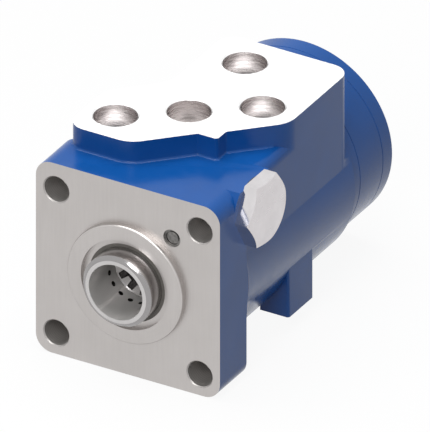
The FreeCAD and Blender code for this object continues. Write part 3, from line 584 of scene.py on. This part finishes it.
def disc_finish(centre, disc_high, back_is_painted):
    """The finish of one face of a disc."""
    on_rim = from_axis(centre) >= disc_high[0] - disc_rim_depth
    on_back = back_is_painted and centre.y > disc_high[1] - cap_back_depth
    return blue_paint if on_rim or on_back else turned_iron


for node, name in (
    ("spacer_plate", "spacer_plate_painted"),
    ("gerotor_ring", "gerotor_ring_painted"),
    ("end_cap", "end_cap_painted"),
):
    disc_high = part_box(node)[1]
    disc = joined_copy(node, name)
    dress(disc, [blue_paint, turned_iron],
          lambda centre, out: disc_finish(centre, disc_high, node == "end_cap"))
    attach(disc, "housing_unit")
    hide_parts(node)


# The cap screws: seven zinc plated socket screws, which reach through cap, ring and plate into
# the housing and clamp the stack on.
cap_screws = joined_copy("cap_screws", "cap_screws_plated", angle=25)
cap_screws.data.materials.append(zinc_plate)
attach(cap_screws, "housing_unit")
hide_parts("cap_screws")


# The parts inside, which keep their CAD shapes: ground steel for the valve, the bearing and the
# rotor train, spring steel, a pressed brass cage, black rubber seals, a grey wiper round the hub
# and a zinc plated ring over the check ball.
ground_steel, tree, shader = finish_of("ground_steel", metallic=1.0)
scratches = grain(tree, 0.0006, stretch=(1, 0.15, 1))
clouds = grain(tree, 0.008)
colour_by(tree, shader, both(tree, scratches, clouds, 0.5), (0.52, 0.51, 0.50), (0.62, 0.61, 0.60))
roughness_by(tree, shader, scratches, 0.18, 0.30)
emboss(tree, shader, scratches, 0.000002)

spring_steel, tree, shader = finish_of("spring_steel", metallic=1.0)
film = grain(tree, 0.0015)
colour_by(tree, shader, film, (0.20, 0.20, 0.215), (0.34, 0.34, 0.35))
roughness_by(tree, shader, film, 0.26, 0.40)
emboss(tree, shader, grain(tree, 0.0004), 0.000002)

pressed_brass, tree, shader = finish_of("pressed_brass", metallic=1.0)
wear = grain(tree, 0.003)
colour_by(tree, shader, wear, (0.70, 0.52, 0.26), (0.82, 0.64, 0.36))
roughness_by(tree, shader, wear, 0.24, 0.38)
emboss(tree, shader, grain(tree, 0.0005), 0.000002)

black_rubber, tree, shader = finish_of("black_rubber")
bloom = grain(tree, 0.002)
colour_by(tree, shader, bloom, (0.012, 0.012, 0.012), (0.026, 0.025, 0.024))
roughness_by(tree, shader, bloom, 0.50, 0.68)
emboss(tree, shader, grain(tree, 0.0003), 0.000004)

clear_zinc, tree, shader = finish_of("clear_zinc", metallic=0.2)
film = grain(tree, 0.002)
colour_by(tree, shader, film, (0.80, 0.78, 0.77), (0.88, 0.86, 0.85))
roughness_by(tree, shader, film, 0.34, 0.44)
emboss(tree, shader, grain(tree, 0.0005), 0.000002)

grey_wiper, tree, shader = finish_of("grey_wiper")
bloom = grain(tree, 0.002)
colour_by(tree, shader, bloom, (0.125, 0.115, 0.103), (0.155, 0.145, 0.130))
roughness_by(tree, shader, bloom, 0.45, 0.60)
emboss(tree, shader, grain(tree, 0.0003), 0.000003)

inner_finishes = {
    "ground_steel": ground_steel,
    "spring_steel": spring_steel,
    "brass": pressed_brass,
    "black_rubber": black_rubber,
}
own_finishes = {"dust_seal": grey_wiper, "ball_retainer": clear_zinc}
replaced_nodes = {
    "housing", "passage_plug", "spool", "relief_plug", "spacer_plate", "gerotor_ring", "end_cap",
    "cap_screws", "relief_spring", "centering_springs",
}
for subpart in frame["record"]["subparts"]:
    if subpart["node"] not in replaced_nodes:
        piece = frame["nodes"][subpart["node"]]
        piece.data.materials.clear()
        slot_finish = inner_finishes[subpart["material_slot"]]
        piece.data.materials.append(own_finishes.get(subpart["node"], slot_finish))


# The relief spring: a coil of square steel wire between the poppet's shoulder and the relief
# plug. The poppet squeezes it against the plug when it lifts.
relief_spring = joined_copy("relief_spring", "relief_spring_wound")
relief_spring.data.materials.append(spring_steel)
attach(relief_spring, "housing_unit")
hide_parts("relief_spring")
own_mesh(relief_spring)


# The leaf springs: two packs of bowed spring steel leaves, back to back, in slots across spool
# and sleeve. The sleeve holds their tips and the spool their middle, so they bend in between, and
# their mesh is divided into short strips there.
bend_near = 0.0130
bend_far = 0.0150
bend_strips = 5

for side, name in ((-1, "leaf_springs_left"), (1, "leaf_springs_right")):
    leaves = joined_copy("centering_springs", name)
    bpy.ops.object.mode_set(mode="EDIT")
    bpy.ops.mesh.select_all(action="SELECT")
    bpy.ops.mesh.bisect(plane_co=(0, 0, 0), plane_no=(side, 0, 0), use_fill=True, clear_inner=True)
    for strip in range(bend_strips + 1):
        reach = bend_near + (bend_far - bend_near) * strip / bend_strips
        bpy.ops.mesh.select_all(action="SELECT")
        bpy.ops.mesh.bisect(plane_co=(side * reach, 0, 0), plane_no=(1, 0, 0))
    bpy.ops.object.mode_set(mode="OBJECT")
    leaves.data.materials.append(spring_steel)
    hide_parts("centering_springs")
    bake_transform(leaves)


# The finished unit: the view layer is brought up to date.
bpy.context.view_layer.update()
